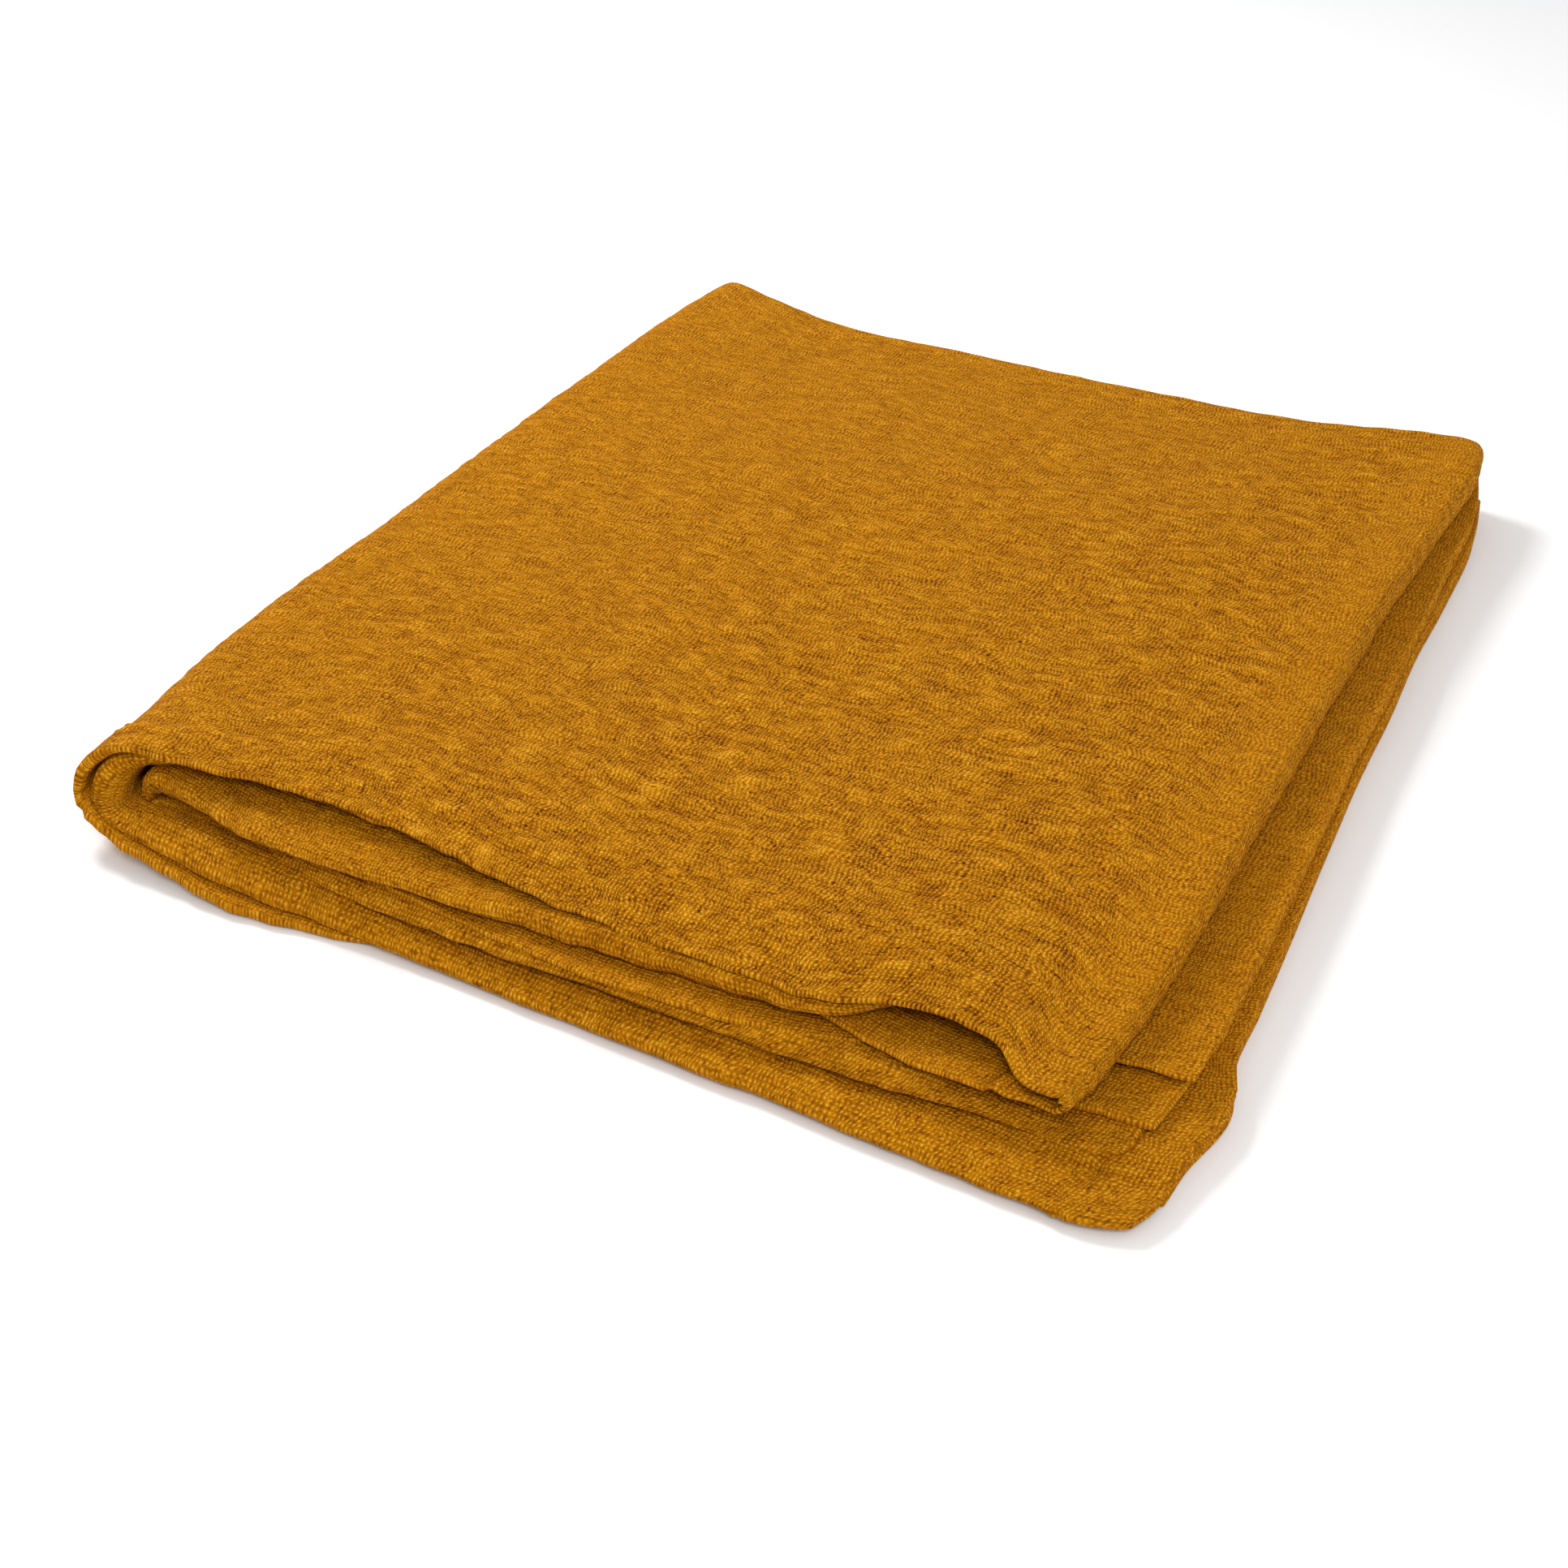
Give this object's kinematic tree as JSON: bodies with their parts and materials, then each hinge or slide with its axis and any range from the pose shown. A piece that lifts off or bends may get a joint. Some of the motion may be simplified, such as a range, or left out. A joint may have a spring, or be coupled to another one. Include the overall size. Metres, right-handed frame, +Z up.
{
  "type": "folded throw blanket",
  "caption": "Crinkled double-gauze cotton throw with stitched hems, folded in quarters both ways into a soft flat stack that opens like a book.",
  "frame": {"origin": "centre of the folded stack's box, on the surface that the stack lies on", "axes": "+X from the left fold towards the free side edges, +Y from the front hems to the back folds, +Z up through the leaves"},
  "size_m": [0.34, 0.428, 0.0317],
  "materials": {
    "gauze_cloth": "crinkled mustard cotton double gauze, matt",
    "hem_cloth": "the same gauze turned twice and stitched, flatter and denser",
    "sewing_thread": "matching mustard polyester-cotton sewing thread"
  },
  "bodies": {
    "lower_half": {"bottom_panel_leaf_1": "gauze_cloth", "bottom_panel_leaf_2": "gauze_cloth", "bottom_panel_leaf_3": "gauze_cloth", "bottom_panel_leaf_4": "gauze_cloth", "bottom_panel_back_fold_outer": "gauze_cloth", "bottom_panel_back_fold_inner": "gauze_cloth", "bottom_panel_front_fold": "gauze_cloth", "bottom_panel_front_hems": "hem_cloth", "bottom_panel_front_hem_stitching": "sewing_thread", "bottom_panel_side_hems": "hem_cloth", "bottom_panel_side_hem_stitching": "sewing_thread", "second_panel_leaf_1": "gauze_cloth", "second_panel_leaf_2": "gauze_cloth", "second_panel_leaf_3": "gauze_cloth", "second_panel_leaf_4": "gauze_cloth", "second_panel_back_fold_outer": "gauze_cloth", "second_panel_back_fold_inner": "gauze_cloth", "second_panel_front_fold": "gauze_cloth", "second_panel_front_hems": "hem_cloth", "second_panel_front_hem_stitching": "sewing_thread", "second_panel_side_hems": "hem_cloth", "second_panel_side_hem_stitching": "sewing_thread", "left_fold_outer_1": "gauze_cloth", "left_fold_outer_2": "gauze_cloth", "left_fold_outer_3": "gauze_cloth", "left_fold_outer_4": "gauze_cloth", "left_fold_inner_1": "gauze_cloth", "left_fold_inner_2": "gauze_cloth", "left_fold_inner_3": "gauze_cloth", "left_fold_inner_4": "gauze_cloth"},
    "upper_half": {"third_panel_leaf_1": "gauze_cloth", "third_panel_leaf_2": "gauze_cloth", "third_panel_leaf_3": "gauze_cloth", "third_panel_leaf_4": "gauze_cloth", "third_panel_back_fold_outer": "gauze_cloth", "third_panel_back_fold_inner": "gauze_cloth", "third_panel_front_fold": "gauze_cloth", "third_panel_front_hems": "hem_cloth", "third_panel_front_hem_stitching": "sewing_thread", "top_panel_leaf_1": "gauze_cloth", "top_panel_leaf_2": "gauze_cloth", "top_panel_leaf_3": "gauze_cloth", "top_panel_leaf_4": "gauze_cloth", "top_panel_back_fold_outer": "gauze_cloth", "top_panel_back_fold_inner": "gauze_cloth", "top_panel_front_fold": "gauze_cloth", "top_panel_front_hems": "hem_cloth", "top_panel_front_hem_stitching": "sewing_thread", "right_fold_1": "gauze_cloth", "right_fold_2": "gauze_cloth", "right_fold_3": "gauze_cloth", "right_fold_4": "gauze_cloth"}
  },
  "joints": [
    {"name": "book_fold", "type": "hinge", "parent": "lower_half", "child": "upper_half", "pos_m": [-0.15415, 0, 0.01585], "axis": [0, -1, 0], "range_deg": [0, 180], "deforming": ["left_fold_outer_1", "left_fold_outer_2", "left_fold_outer_3", "left_fold_outer_4", "left_fold_inner_1", "left_fold_inner_2", "left_fold_inner_3", "left_fold_inner_4"]}
  ]
}
